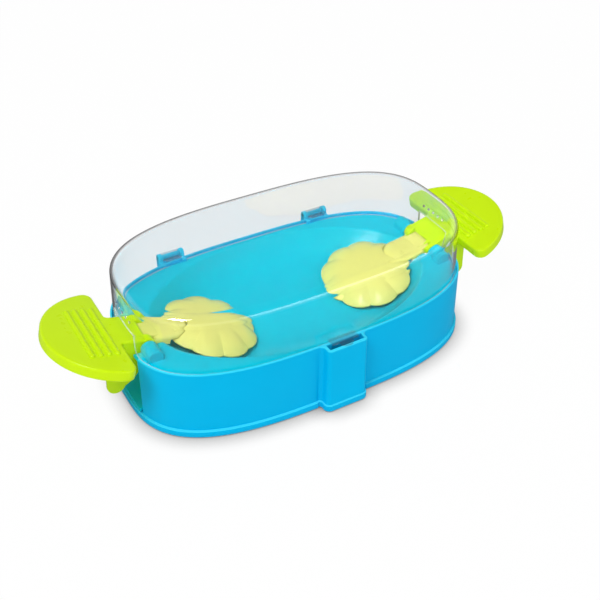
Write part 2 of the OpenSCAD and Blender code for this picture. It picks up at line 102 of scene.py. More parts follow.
def grid_faces(rows, cols, wrap_rows=False, wrap_cols=False):
    """Four-cornered faces between neighbouring rows and columns of a grid, joined round where asked."""
    index = np.arange(rows * cols).reshape(rows, cols)
    if wrap_rows:
        index = np.vstack([index, index[:1]])
    if wrap_cols:
        index = np.hstack([index, index[:, :1]])
    corners = [index[:-1, :-1], index[:-1, 1:], index[1:, 1:], index[1:, :-1]]
    return np.stack(corners, -1).reshape(-1, 4)


def weld(points, faces, caps=()):
    """Joins points that share a place to a thousandth of a millimetre, drops faces left without area,
    and turns the whole shell so that the sum of its corner volumes is positive."""
    _, first, back = np.unique(np.round(points, 3) + 0.0, axis=0, return_index=True,
                               return_inverse=True)
    back = back.reshape(-1)
    points = points[first]
    quads = back[faces]
    same = quads == np.roll(quads, -1, axis=1)
    folded = (quads[:, 0] == quads[:, 2]) | (quads[:, 1] == quads[:, 3])
    four = quads[(same.sum(1) == 0) & ~folded]
    one = (same.sum(1) == 1)
    three = quads[one][~same[one]].reshape(-1, 3)
    three = three[(three[:, 0] != three[:, 2])]
    rings = [list(dict.fromkeys(back[np.asarray(cap)].tolist())) for cap in caps]
    fans = [np.column_stack([np.full(len(r) - 2, r[0]), r[1:-1], r[2:]]) for r in rings]
    tris = np.vstack([four[:, [0, 1, 2]], four[:, [0, 2, 3]], three] + fans)
    corner = points[tris]
    volume = np.einsum("ij,ij->i", corner[:, 0], np.cross(corner[:, 1], corner[:, 2])).sum()
    shapes = four.tolist() + three.tolist() + rings
    if volume < 0:
        shapes = [s[::-1] for s in shapes]
    return points, shapes


def rows_shell(rows, wrap_rows=True, wrap_cols=True):
    """Shell through a list of point rows, each row one closed line round the piece."""
    grid = np.stack(rows)
    faces = grid_faces(grid.shape[0], grid.shape[1], wrap_rows, wrap_cols)
    return weld(grid.reshape(-1, 3), faces)


def capped(rows):
    """Solid through a list of point rows, each a closed line, with a flat cap on the first and the
    last. The caps run the other way round than those of slab(), so they face inwards."""
    grid = np.stack(rows)
    count, n = grid.shape[:2]
    cap = np.arange(n)
    return weld(grid.reshape(-1, 3), grid_faces(count, n, False, True),
                [cap, cap[::-1] + n * (count - 1)])


def inset(outline, depth):
    """Closed outline moved inwards: each corner goes along the sum of its two edge normals, n1 + n2,
    by depth / (1 + n1.n2), so that both edges move by the same depth."""
    ahead = np.roll(outline, -1, axis=0) - outline
    ahead = ahead / np.linalg.norm(ahead, axis=1, keepdims=True)
    before = np.roll(ahead, 1, axis=0)
    n1 = np.column_stack([before[:, 1], -before[:, 0]])
    n2 = np.column_stack([ahead[:, 1], -ahead[:, 0]])
    return outline - depth * (n1 + n2) / (1 + (n1 * n2).sum(1))[:, None]


def slab(outline, levels, lay):
    """Solid between two flat faces: the outline, moved in by the first value of each level, stands at
    the second value; lay(a, b, h) puts it in space."""
    rows = []
    for depth, height in levels:
        line = inset(outline, depth)
        rows.append(lay(line[:, 0], line[:, 1], np.broadcast_to(height, len(line)) + 0.0))
    n = len(outline)
    last = n * (len(levels) - 1)
    return weld(np.vstack(rows), grid_faces(len(levels), n, False, True),
                [np.arange(n)[::-1], np.arange(n) + last])


def soft_ends(low, high, soft):
    """Levels of a plate from low to high, with the edges of both faces bevelled by soft."""
    return [(soft, low), (0.0, low + soft), (0.0, high - soft), (soft, high)]


def rectangle(a0, a1, b0, b1):
    """Four corners of the rectangle from a0 to a1 and b0 to b1."""
    return np.array([[a0, b0], [a1, b0], [a1, b1], [a0, b1]])


def turned(profile, lay, steps=48):
    """Solid of revolution: a profile of (radius, height) points carried round its axis."""
    a = np.linspace(0, 2 * np.pi, steps, endpoint=False)
    rows = [lay(r * np.cos(a), r * np.sin(a), np.full(steps, h)) for r, h in profile]
    return rows_shell(rows, wrap_rows=False)


def arc(cx, cy, r, a0, a1, n):
    """Points of a circle's arc from angle a0 to a1, in degrees."""
    a = np.radians(np.linspace(a0, a1, n))
    return np.column_stack([cx + r * np.cos(a), cy + r * np.sin(a)])


def xyz(x, y, z):
    """Points from their three coordinates; as a lay, it stands an outline in x and y up along z."""
    return np.column_stack([x, y, z])


def along_x(a, b, h):
    """Lay for an outline in y and z, drawn out along x."""
    return xyz(h, a, b)


def along_y(a, b, h):
    """Lay for an outline in x and z, drawn out along y."""
    return xyz(a, h, b)


def lever(side):
    """Lever frame: u runs out along the plank from the pivot, v across, w square to the plank, tilted
    14 degrees."""
    def lay(u, v, w):
        return xyz(side * (PIVOT_X + u * math.cos(TILT) - w * math.sin(TILT)), v,
                   PIVOT_Z + u * math.sin(TILT) + w * math.cos(TILT))
    return lay


def lever_side(side):
    """Lever frame for outlines drawn in u and w and drawn out across, along v."""
    lay = lever(side)
    return lambda u, w, v: lay(u, v, w)


def placed(name, shells, material):
    """One object of one or more closed shells, in metres, smooth except across crisp edges."""
    points, shapes, start = [], [], 0
    for p, f in shells:
        points.append(p)
        shapes += [[i + start for i in s] for s in f]
        start += len(p)
    mesh = bpy.data.meshes.new(name)
    mesh.from_pydata(((np.vstack(points) + [0, FRAME_Y, 0]) * MM).tolist(), [], shapes)
    mesh.materials.append(material)
    mesh.shade_smooth()
    mesh.set_sharp_from_angle(angle=CRISP)
    obj = bpy.data.objects.new(name, mesh)
    bpy.context.collection.objects.link(obj)
    return obj


def shown(obj, body, slot, *nodes):
    """Lets a piece ride on its body in place of the nodes it shows; slot is not used."""
    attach(obj, body)
    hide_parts(*nodes)
    return obj


def cut_away(obj, shells):
    """Takes closed shells out of an object's mesh for good."""
    tool = placed("cutter", shells, obj.data.materials[0])
    cut = obj.modifiers.new("cut", "BOOLEAN")
    cut.object = tool
    cut.operation = "DIFFERENCE"
    cut.solver = "EXACT"
    bpy.context.view_layer.update()
    graph = bpy.context.evaluated_depsgraph_get()
    mesh = bpy.data.meshes.new_from_object(obj.evaluated_get(graph))
    obj.modifiers.remove(cut)
    obj.data = mesh
    bpy.data.objects.remove(tool)
    mesh.shade_smooth()
    mesh.set_sharp_from_angle(angle=CRISP)


# materials

def linear(code):
    """sRGB hex code to linear red, green, blue and full cover."""
    c = np.array([int(code[i:i + 2], 16) for i in (1, 3, 5)]) / 255
    low = c <= 0.04045
    c = np.where(low, c / 12.92, ((c + 0.055) / 1.055) ** 2.4)
    return (*c.tolist(), 1.0)


def add(tree, kind, inputs=None, **settings):
    """Adds one node with its settings, and sets or links its inputs."""
    node = tree.nodes.new(kind)
    for key, value in settings.items():
        setattr(node, key, value)
    for key, value in (inputs or {}).items():
        if isinstance(value, bpy.types.NodeSocket):
            tree.links.new(value, node.inputs[key])
        else:
            node.inputs[key].default_value = value
    return node


def fresh(name):
    """New material with an empty node tree."""
    material = bpy.data.materials.new(name)
    material.use_nodes = True
    material.node_tree.nodes.clear()
    return material, material.node_tree


def moulded(name, main, deep, roughness, gleam, grain=0.02, edge=None):
    """Injection-moulded polyolefin: an even colour that drifts a little between main and deep over
    flow fronts about 30 mm wide, gloss that varies over patches of 8 mm, and the mould's fine 0.5 mm
    texture, drawn as 0.9 mm so that it shows. With an edge colour, a painted highlight: the thin lip
    at the rim and a band about 1 mm high at the skirt's shoulder are painted in that paler colour."""
    material, tree = fresh(name)
    place = add(tree, "ShaderNodeTexCoord").outputs["Object"]
    flow = add(tree, "ShaderNodeTexNoise", {"Vector": place, "Scale": 1 / 0.030, "Detail": 2.0})
    colour = add(tree, "ShaderNodeMix",
                 {"Factor": flow.outputs["Fac"], "A": linear(deep), "B": linear(main)},
                 data_type="RGBA")
    # painted highlight: the rim's lip from 60.6 mm up and the skirt's shoulder near 6.6 mm get the paler edge
    # colour
    if edge:
        height = add(tree, "ShaderNodeSeparateXYZ", {"Vector": place}).outputs["Z"]
        lip = add(tree, "ShaderNodeMapRange",
                  {"Value": height, "From Min": 0.0606, "From Max": 0.0616})
        step = add(tree, "ShaderNodeMath", {0: height, 1: 0.0066, 2: 0.0005}, operation="COMPARE")
        line = add(tree, "ShaderNodeMath", {0: lip.outputs["Result"], 1: step.outputs[0]},
                   operation="MAXIMUM")
        colour = add(tree, "ShaderNodeMix",
                     {"Factor": line.outputs[0], "A": colour.outputs["Result"], "B": linear(edge)},
                     data_type="RGBA")
    patch = add(tree, "ShaderNodeTexNoise", {"Vector": place, "Scale": 1 / 0.008, "Detail": 3.0})
    gloss = add(tree, "ShaderNodeMapRange",
                {"Value": patch.outputs["Fac"], "From Min": 0.3, "From Max": 0.7,
                 "To Min": roughness - 0.03, "To Max": roughness + 0.03})
    fine = add(tree, "ShaderNodeTexNoise", {"Vector": place, "Scale": 1 / 0.0009, "Detail": 2.0})
    relief = add(tree, "ShaderNodeBump",
                 {"Height": fine.outputs["Fac"], "Strength": grain, "Distance": 0.0002})
    shader = add(tree, "ShaderNodeBsdfPrincipled",
                 {"Base Color": colour.outputs["Result"], "Roughness": gloss.outputs["Result"],
                  "IOR": 1.49, "Specular IOR Level": gleam, "Normal": relief.outputs["Normal"]})
    add(tree, "ShaderNodeOutputMaterial", {"Surface": shader.outputs["BSDF"]})
    return material


# polypropylene from a polished mould: saturated blue, soft broad gloss; a paler cyan painted highlight runs
# along the rim's lip and the skirt's shoulder
tub_blue = moulded("polypropylene_moulded_blue", "#00b9ea", "#00b3e5", 0.32, 0.05, edge="#35d3f4")
# the same plastic, lighter masterbatch, seen through the lid: bright turquoise blue
tray_blue = moulded("polypropylene_moulded_turquoise", "#00c3d8", "#00bdd3", 0.22, 0.15)
# lime green polypropylene: satin, nearly free of texture
lever_green = moulded("polypropylene_moulded_lime", "#caee00", "#c6eb00", 0.30, 0.25, 0.006)
# pale yellow polypropylene: waxy and glossy
paw_yellow = moulded("polypropylene_moulded_pale_yellow", "#e6e27c", "#e4e079", 0.24, 0.3, 0.006)


def clear_cover(name, straight):
    """Injection-moulded styrene: clear, faintly blue grey, sharp highlights, slight moulding haze in
    12 mm patches; lamps shine through it without the shade of a solid body, and the straight share
    of the view passes unbent, as through flat thin walls."""
    material, tree = fresh(name)
    place = add(tree, "ShaderNodeTexCoord").outputs["Object"]
    haze = add(tree, "ShaderNodeTexNoise", {"Vector": place, "Scale": 1 / 0.012, "Detail": 2.0})
    gloss = add(tree, "ShaderNodeMapRange",
                {"Value": haze.outputs["Fac"], "From Min": 0.3, "From Max": 0.7,
                 "To Min": 0.01, "To Max": 0.05})
    body = add(tree, "ShaderNodeBsdfPrincipled",
               {"Base Color": linear("#fdfeff"), "Roughness": gloss.outputs["Result"],
                "IOR": 1.50, "Transmission Weight": 1.0})
    open_air = add(tree, "ShaderNodeBsdfTransparent", {"Color": linear("#f2f5f7")})
    lamp = add(tree, "ShaderNodeLightPath")
    view = body.outputs["BSDF"]
    if straight:
        part = add(tree, "ShaderNodeMixShader", {0: straight, 1: view, 2: open_air.outputs["BSDF"]})
        view = part.outputs["Shader"]
    mix = add(tree, "ShaderNodeMixShader",
              {0: lamp.outputs["Is Shadow Ray"], 1: view, 2: open_air.outputs["BSDF"]})
    add(tree, "ShaderNodeOutputMaterial", {"Surface": mix.outputs["Shader"]})
    return material


def satin_edge():
    """Cut edge of the clear styrene, left satin: a pale line that catches light, half seen through,
    roughened in 2 mm patches."""
    material, tree = fresh("styrene_edge_satin")
    place = add(tree, "ShaderNodeTexCoord").outputs["Object"]
    patch = add(tree, "ShaderNodeTexNoise", {"Vector": place, "Scale": 1 / 0.002, "Detail": 2.0})
    gloss = add(tree, "ShaderNodeMapRange",
                {"Value": patch.outputs["Fac"], "To Min": 0.35, "To Max": 0.55})
    body = add(tree, "ShaderNodeBsdfPrincipled",
               {"Base Color": linear("#e9eff2"), "Roughness": gloss.outputs["Result"]})
    open_air = add(tree, "ShaderNodeBsdfTransparent")
    mix = add(tree, "ShaderNodeMixShader",
              {0: 0.5, 1: body.outputs["BSDF"], 2: open_air.outputs["BSDF"]})
    add(tree, "ShaderNodeOutputMaterial", {"Surface": mix.outputs["Shader"]})
    return material


def screw_steel():
    """Zinc-plated carbon steel, cold headed: cool grey metal, turning marks 0.2 mm apart drawn at
    0.5 mm."""
    material, tree = fresh("steel_zinc_plated")
    place = add(tree, "ShaderNodeTexCoord").outputs["Object"]
    blotch = add(tree, "ShaderNodeTexNoise", {"Vector": place, "Scale": 1 / 0.003, "Detail": 2.0})
    colour = add(tree, "ShaderNodeMix",
                 {"Factor": blotch.outputs["Fac"], "A": linear("#a9adb2"), "B": linear("#c6c8c9")},
                 data_type="RGBA")
    marks = add(tree, "ShaderNodeTexWave", {"Vector": place, "Scale": 1 / 0.0005, "Distortion": 1.5},
                wave_type="RINGS", rings_direction="Z")
    rough = add(tree, "ShaderNodeMapRange",
                {"Value": marks.outputs["Fac"], "To Min": 0.28, "To Max": 0.45})
    shader = add(tree, "ShaderNodeBsdfPrincipled",
                 {"Base Color": colour.outputs["Result"], "Metallic": 1.0,
                  "Roughness": rough.outputs["Result"]})
    add(tree, "ShaderNodeOutputMaterial", {"Surface": shader.outputs["BSDF"]})
    return material


def foot_rubber():
    """Compression-moulded rubber: dull near-black, dusty in 4 mm patches, 0.6 mm grained skin."""
    material, tree = fresh("rubber_moulded_black")
    place = add(tree, "ShaderNodeTexCoord").outputs["Object"]
    dust = add(tree, "ShaderNodeTexNoise", {"Vector": place, "Scale": 1 / 0.004, "Detail": 4.0})
    colour = add(tree, "ShaderNodeMix",
                 {"Factor": dust.outputs["Fac"], "A": linear("#222428"), "B": linear("#3a3c3f")},
                 data_type="RGBA")
    grain = add(tree, "ShaderNodeTexNoise", {"Vector": place, "Scale": 1 / 0.0006})
    relief = add(tree, "ShaderNodeBump",
                 {"Height": grain.outputs["Fac"], "Strength": 0.3, "Distance": 0.0002})
    shader = add(tree, "ShaderNodeBsdfPrincipled",
                 {"Base Color": colour.outputs["Result"], "Roughness": 0.75,
                  "Normal": relief.outputs["Normal"]})
    add(tree, "ShaderNodeOutputMaterial", {"Surface": shader.outputs["BSDF"]})
    return material


lid_clear = clear_cover("styrene_moulded_clear", 0.0)
fitting_clear = clear_cover("styrene_moulded_thin", 0.8)
steel, rubber = screw_steel(), foot_rubber()


# tub

def oval(t, out):
    """Plan outline of the toy, |x/a|^3 + |y/b|^3 = 1 at angle t, with both half axes longer by out."""
    c, s = np.cos(t), np.sin(t)
    k = (np.abs(c) ** 3 + np.abs(s) ** 3) ** (-1 / 3)
    return k * (HALF_L + out) * c, k * (HALF_W + out) * s


def oval_y(x, out):
    """Half width of that outline at x."""
    return (HALF_W + out) * (1 - (np.abs(x) / (HALF_L + out)) ** 3) ** (1 / 3)


def angle_at(y, out):
    """Angle of the point of the outline's right end that lies at y."""
    t = np.linspace(0, 0.9, 4000)
    return float(np.interp(y, oval(t, out)[1], t))


def tub_shell():
    """Closed wall profile (skirt, drafted wall, rounded rim, latch pocket, inner face) carried round
    the oval and round the latch boss; between the jambs of the end openings the profile is clamped
    down to the sill."""
    slot = angle_at(JAMB_HW, 0.0)
    start = -np.pi / 2 + math.asin(FILLET_X / HALF_L)
    pieces = [(start, -slot, 76, 0), (-slot, slot, 17, 1), (slot, np.pi - slot, 160, 0),
              (np.pi - slot, np.pi + slot, 17, 1), (np.pi + slot, np.pi - start, 76, 0)]
    t = np.concatenate([np.linspace(a, b, n) for a, b, n, _ in pieces])
    low = np.concatenate([np.full(n, f) for _, _, n, f in pieces]).astype(bool)

    # boss in plan, from its left fillet round its front to its right one, with outward normals
    bend = 9
    blend = arc(-FILLET_X, -FILLET_Y, FILLET_R, 90, 0, bend)
    corner = arc(-CORNER_X, -CORNER_Y, CORNER_R, 180, 270, bend)
    half = np.vstack([blend, corner])
    half_n = np.vstack([([-FILLET_X, -FILLET_Y] - blend) / FILLET_R,
                        (corner - [-CORNER_X, -CORNER_Y]) / CORNER_R])
    across = np.linspace(-CORNER_X, CORNER_X, 13)[1:-1]
    front = np.column_stack([across, np.full(len(across), -BOSS_Y)])
    front_n = np.tile([0.0, -1.0], (len(across), 1))
    boss = np.vstack([half, front, half[::-1] * [-1, 1]])
    boss_n = np.vstack([half_n, front_n, half_n[::-1] * [-1, 1]])
    m = len(boss)
    low = np.concatenate([low, np.zeros(m, bool)])

    # the pocket lies behind the boss without the points that lead up to it along the fillets
    lead = bend - 1
    edge = np.zeros(m, bool)
    edge[lead:m - lead] = True

    def outer(out, z):
        """Row of the outer face; what stands out of the oval stands out less on the boss."""
        x, y = oval(t, out)
        b = boss + min(out, SKIRT_SHARE * out) * boss_n
        return np.concatenate([x, b[:, 0]]), np.concatenate([y, b[:, 1]]), z

    def inner(out, z):
        """Row of the inner face, which runs on behind the boss."""
        x, y = oval(t, out)
        behind = -oval_y(boss[:, 0], out)
        return np.concatenate([x, boss[:, 0]]), np.concatenate([y, behind]), z

    def pocket(front_side, z):
        """Row of the pocket's front or back wall at height z, and of the rim's crest elsewhere."""
        x, y = oval(t, -CREST_IN)
        p = boss - WALL * boss_n
        if not front_side:
            p = np.column_stack([np.clip(boss[:, 0], -POCKET_HW, POCKET_HW), np.full(m, -POCKET_Y)])
        share = np.linspace(0, 1, bend)[:lead, None]
        lip = np.column_stack([boss[:lead, 0], -oval_y(boss[:lead, 0], -CREST_IN)])
        p[:lead] = (1 - share) * lip + share * [-POCKET_HW, -POCKET_Y]
        p[m - lead:] = p[:lead][::-1] * [-1, 1]
        depth = np.concatenate([np.full(len(t), RIM_Z), np.where(edge, z, RIM_Z)])
        return np.concatenate([x, p[:, 0]]), np.concatenate([y, p[:, 1]]), depth

    # profile points: distance out of the oval, height
    skirt_to_rim = [(-1.0, 0.8), (2.3, 0.8), (2.75, 1.0), (2.9, 1.4), (2.9, 6.0), (2.7, 6.5),
                    (2.2, 6.8), (1.3, 6.9), (1.1, 7.2), (0.0, 60.9), (-0.08, 61.4), (-0.35, 61.8),
                    (-0.8, 62.0)]
    rim_to_foot = [(-0.95, 62.0), (-1.35, 61.8), (-1.5, 61.4), (-1.5, 56.6), (-2.4, 56.6),
                   (-2.4, 4.4), (-1.4, 4.4), (-1.4, 0.8)]
    rows = [outer(*point) for point in skirt_to_rim]
    rows += [pocket(True, RIM_Z), pocket(True, POCKET_Z), pocket(False, POCKET_Z),
             pocket(False, RIM_Z)]
    rows += [inner(*point) for point in rim_to_foot]
    lines = []
    for x, y, z in rows:
        z = np.broadcast_to(z, len(x)) + 0.0
        lines.append(xyz(x, y, np.where(low, np.minimum(z, SILL_Z), z)))
    return rows_shell(lines)


# where the hinge loops grow out of the wall
LUG_ROOT = float(oval_y(HINGE_X + LUG_X + LUG_HALF, -2.0))


def hinge_lug(x):
    """Upright loop plate: a round eye drawn down to the wall, drawn out along x with softened faces."""
    eye = arc(HINGE_Y, HINGE_Z, EYE_R, 0, 180, 17)
    line = np.vstack([eye, [[HINGE_Y - EYE_R, 61.6], [LUG_ROOT, 61.6], [LUG_ROOT, 48.0],
                            [HINGE_Y - 4, 48.0], [HINGE_Y + 2.4, 53.6], [HINGE_Y + EYE_R, 56.4]]])
    return slab(line, soft_ends(x - LUG_HALF, x + LUG_HALF, 0.5), along_x)


def hinge_web(x):
    """Shelf between the two plates of a loop, just under the clear knuckle."""
    line = rectangle(LUG_ROOT, HINGE_Y + 2.6, 56.4, 59.8)
    return slab(line, [(0.0, x - WEB_HW), (0.0, x + WEB_HW)], along_x)


lugs = [hinge_lug(s * HINGE_X + k * LUG_X) for s in (-1, 1) for k in (-1, 1)]
lugs += [hinge_web(s * HINGE_X) for s in (-1, 1)]
tub = placed("tub_wall", [tub_shell()] + lugs, tub_blue)
shown(tub, "base", "blue_plastic", "tub")


# tray

def bowl_height(x, y):
    """Bowl z = floor + rise * r^6 of the elliptic radius r, eased into the flat deck by a smooth
    minimum 1.2 mm wide."""
    r = np.hypot(x / BOWL_A, y / BOWL_B)
    z = BOWL_Z + (DECK_Z - BOWL_Z) * np.minimum(r, 1.25) ** BOWL_POW
    h = np.clip(0.5 + 0.5 * (DECK_Z - z) / EASE, 0, 1)
    return DECK_Z + (z - DECK_Z) * h - EASE * h * (1 - h) * 0.5


def tray_sheet():
    """Deck and bowl as one height over the oval plan: rows run along x, each a fixed share of the half
    width there, closer together at the ends; a copy of the surface 2.4 mm lower closes the sheet."""
    way = np.linspace(-1, 1, 151)
    x = SHEET_L * np.sign(way) * (1 - (1 - np.abs(way)) ** 1.35)
    across = np.linspace(-1, 1, 101)
    across = np.sign(across) * (1 - (1 - np.abs(across)) ** 1.25)
    y = across[:, None] * oval_y(x, -SHEET_IN)[None, :]
    top = np.stack([np.broadcast_to(x, y.shape), y, bowl_height(x[None, :], y)], -1)
    rows, cols = y.shape
    faces = grid_faces(rows, cols)
    n = rows * cols
    rim = np.concatenate([np.arange(cols), np.arange(2, rows + 1) * cols - 1,
                          n - 2 - np.arange(cols - 1), (np.arange(rows - 2)[::-1] + 1) * cols])
    side = np.stack([rim, np.roll(rim, -1), np.roll(rim, -1) + n, rim + n], -1)
    return weld(np.vstack([top.reshape(-1, 3), (top - [0, 0, WALL]).reshape(-1, 3)]),
                np.vstack([faces, faces[:, ::-1] + n, side[:, ::-1]]))


def tray_room(side, x0, x1, hw):
    """Room taken out of the sheet above the chute, from x0 to x1 and hw to both sides: the lane under
    the paw, the slot for the arm and the wider one for the hub and legs."""
    line = rectangle(x0, x1, -hw, hw) * [side, 1]
    return slab(line[::side], [(0.0, 28.0), (0.0, 80.0)], xyz)


def chute(side):
    """Channel section (floor and two side walls, 2.4 mm thick) carried along x: the floor runs level
    under the paw and then down at 25 degrees to the outlet, the walls reach up into the sheet and
    stop at the tub wall."""
    x = np.concatenate([np.linspace(LANE_X, CHUTE_X, 14), np.linspace(CHUTE_X, WALL_X, 18)[1:],
                        [WALL_X + 0.1, OUTLET_X]])
    floor = LANE_Z - np.maximum(0, x - CHUTE_X) * math.tan(CHUTE_SLOPE)
    top = np.maximum(bowl_height(x, SLOT_HW + WALL / 2) - WALL / 2, floor + SKIM)
    top = np.where(x > WALL_X + 0.05, floor + SKIM, top)
    wide = SLOT_HW + WALL
    y = np.array([-wide, -SLOT_HW, -SLOT_HW, SLOT_HW, SLOT_HW, wide, wide, -wide])
    rows = []
    for k, f, h in zip(x, floor, top):
        z = np.array([h, h, f, f, h, h, f - WALL, f - WALL])
        rows.append(xyz(np.full(len(y), side * k), y, z))
    return capped(rows)


def pedestal(side, s):
    """Block under a bearing hump."""
    line = rectangle(-5.9, 5.9, 52.0, RIM_Z) + [side * PIVOT_X, 0]
    y0, y1 = sorted((s * (GATE_HW + 0.1), s * 30.0))
    return slab(line, soft_ends(y0, y1, 0.3), along_y)


tray = placed("treat_tray", [tray_sheet()], tray_blue)
cut_away(tray, [tray_room(a, LANE_X, GATE_X, SLOT_HW) for a in (-1, 1)])
cut_away(tray, [tray_room(a, GATE_X - LAP, HUB_X + LAP, ARM_HW + 0.7) for a in (-1, 1)])
cut_away(tray, [tray_room(a, HUB_X, 160.0, GATE_HW) for a in (-1, 1)])
shown(tray, "base", "blue_tray_plastic", "tray")
under_tray = [chute(a) for a in (-1, 1)] + [pedestal(a, b) for a in (-1, 1) for b in (-1, 1)]
chutes = placed("tray_chutes", under_tray, tray_blue)
shown(chutes, "base", "blue_tray_plastic", "tray")


def bearing_hump(side, s):
    """Hump over the axle: an arch of radius R = 6.2 on straight 3.4 mm feet, carried along y; at the
    flat outer end R falls by 1.2 mm on a quarter circle."""
    soft = 0.6
    turn = np.linspace(0, np.pi / 2, 7)
    y = np.concatenate([[HUMP_IN, HUMP_IN + soft], HUMP_TURN + HUMP_ROUND * np.sin(turn)])
    half = np.concatenate([[HUMP_R - soft, HUMP_R], HUMP_END_R + HUMP_ROUND * np.cos(turn)])
    a = np.linspace(0, np.pi, 25)
    rows = []
    for r, k in zip(half, y):
        x = np.concatenate([[r], r * np.cos(a), [-r]])
        z = np.concatenate([[HUMP_FOOT], PIVOT_Z + r * np.sin(a), [HUMP_FOOT]])
        rows.append(xyz(side * PIVOT_X + x, np.full(len(x), s * k), z))
    return capped(rows)


# levers

def paddle_outline():
    """Half-round plate of radius 54.4 with 7 mm corners, run by 3 mm fillets into the 36 mm wide
    neck."""
    r = PLATE_CORNER
    yc = math.sqrt((PLATE_R - r) ** 2 - r ** 2)
    a = math.degrees(math.atan2(yc, r))
    start = PLATE_U - NECK_FILLET
    right = np.vstack([arc(PLATE_U, 0, PLATE_R, 0, a, 33),
                       arc(PLATE_U + r, yc, r, a, 180, 13)[1:],
                       arc(start, NECK_HW + NECK_FILLET, NECK_FILLET, 0, -90, 7),
                       [[PLATE_U - 3.1, NECK_HW]],
                       arc(NECK_END, NECK_HW - NECK_ROUND, NECK_ROUND, 90, 180, 6)])
    left = (right[1:] * [1, -1])[::-1]
    return np.vstack([right, left])


def paddle_shell(lay):
    """The outline at levels that run up the recess, round the rim and over the rounded edge to the
    top; on the neck the rim stays 2.8 mm thick."""
    line = paddle_outline()
    neck = line[:, 0] < 19.95
    thin = lambda h: np.where(neck, np.maximum(h, 3.2), h)
    levels = [(2.4, 3.2), (2.3, thin(-2.6)), (2.0, thin(-3.0)), (0.5, thin(-3.0)),
              (0.0, thin(-2.5) + 0.3 * neck), (0.0, 4.4), (0.2, 5.1), (0.7, 5.7), (1.3, 5.95),
              (1.8, 6.0), (2.3, 6.0)]
    return slab(line, levels, lay)


def rib(lay, u):
    """Soft raised ridge across the plate: a long round-ended outline at levels that close in like a
    half ellipse."""
    line = np.vstack([arc(u, RIB_V, RIB_HW, 0, 180, 13), arc(u, -RIB_V, RIB_HW, 180, 360, 13)])
    q = np.linspace(0, 1, 7)
    levels = [(0.0, 5.2)]
    levels += [(RIB_HW * (1 - math.sqrt(1 - k * k)) * 0.98, 5.9 + 1.9 * k) for k in q]
    return slab(line, levels, lay)


def leg(lay, s):
    """Side plate under the neck, with a round foot that swings into the chute."""
    foot = arc(21.5, -34.7, 7.5, 190, 360, 19)
    line = np.vstack([[[-4, 3.7], [-4, -5], [7.5, -29.7]], foot, [[37, 3.7]]])
    y0, y1 = sorted((s * 14.6, s * 17.9))
    return slab(line, soft_ends(y0, y1, 0.5), lay)


def barrel(lay, s):
    """Hub roll on the axle: rounded outer rim and a hollow end round the bore."""
    prof = [(2.6, 10.0), (6.1, 10.0), (6.4, 10.3), (6.4, 17.3), (6.2, 17.8), (5.8, 18.0),
            (4.9, 18.0), (4.6, 17.7), (4.5, 13.5), (2.6, 13.5), (2.6, 10.0)]
    return turned([(r, s * h) for r, h in prof], lay)


def make_paddle(name, side):
    """Pedal in one piece: plate with its ribs, two legs and two hub rolls."""
    lay, flat = lever(side), lever_side(side)
    shells = [paddle_shell(lay)] + [rib(lay, RIB_U + RIB_PITCH * i) for i in range(RIBS)]
    shells += [leg(flat, s) for s in (-1, 1)] + [barrel(flat, s) for s in (-1, 1)]
    return placed(name, shells, lever_green)


def arm_outline(grow=0.0):
    """Bar with a round inner end, 27 mm wide, or wider by grow on each side."""
    hw = ARM_HW + grow
    return np.vstack([[[-7.0, -hw], [-7.0, hw], [-20.2, hw], [-20.4, hw]],
                      arc(-ARM_END, 0, hw, 90, 270, 41), [[-20.4, -hw], [-20.2, -hw]]])


def arm_lift(u):
    """Rise of the bar's round end to the height of the paw dome, a smooth step between u = -9 and
    u = -38."""
    k = np.clip((-9.0 - u) / 29.0, 0, 1)
    return 3.2 * k * k * (3 - 2 * k)


def make_arm(name, side):
    """Crowned bar: the outline at levels from its underside over the round edge to a nearly flat top,
    its end lifted flush with the paw; the tang lies between the hub rolls."""
    lay = lever(side)
    line = arm_outline()
    lift = arm_lift(line[:, 0])
    thin = line[:, 0] < -20.3
    low = lambda h: np.where(thin, np.maximum(h, 0.65), h)
    crown = [(0.0, 0.9), (0.25, 1.7), (0.8, 2.4), (1.8, 3.0), (3.2, 3.5), (5.2, 3.9), (8.0, 4.15),
             (8.4, 4.15)]
    levels = [(0.6, low(-3.6)), (0.0, low(-3.0))] + [(d, h + lift) for d, h in crown]
    tang = rectangle(-8.0, 15.0, -TANG_HW, TANG_HW)
    neck = rectangle(-12.0, 0.3, -TANG_HW, TANG_HW)
    shells = [slab(line, levels, lay),
              slab(tang, [(0.3, -5.2), (0, -4.9), (0, 2.9), (0.3, 3.15)], lay),
              slab(neck, [(0.0, 2.0), (0.0, 2.9), (0.3, 3.4), (1.0, 3.9), (2.2, 4.1)], lay)]
    return placed(name, shells, paw_yellow)


def rivet(lay, s):
    """Button head of a paw rivet standing 0.8 mm proud of the bar, with its shank."""
    u, v = -ARM_END - 2.0, 8.0 * s
    top = 3.75 + float(arm_lift(np.array(u)))
    prof = [(0.0, top + 0.8), (0.9, top + 0.72), (1.6, top + 0.45), (1.95, top), (2.0, top - 0.5),
            (1.5, top - 0.7), (1.5, -1.0), (0.0, -1.0)]
    return turned(prof, lambda a, b, h: lay(u + a, v + b, h), 24)


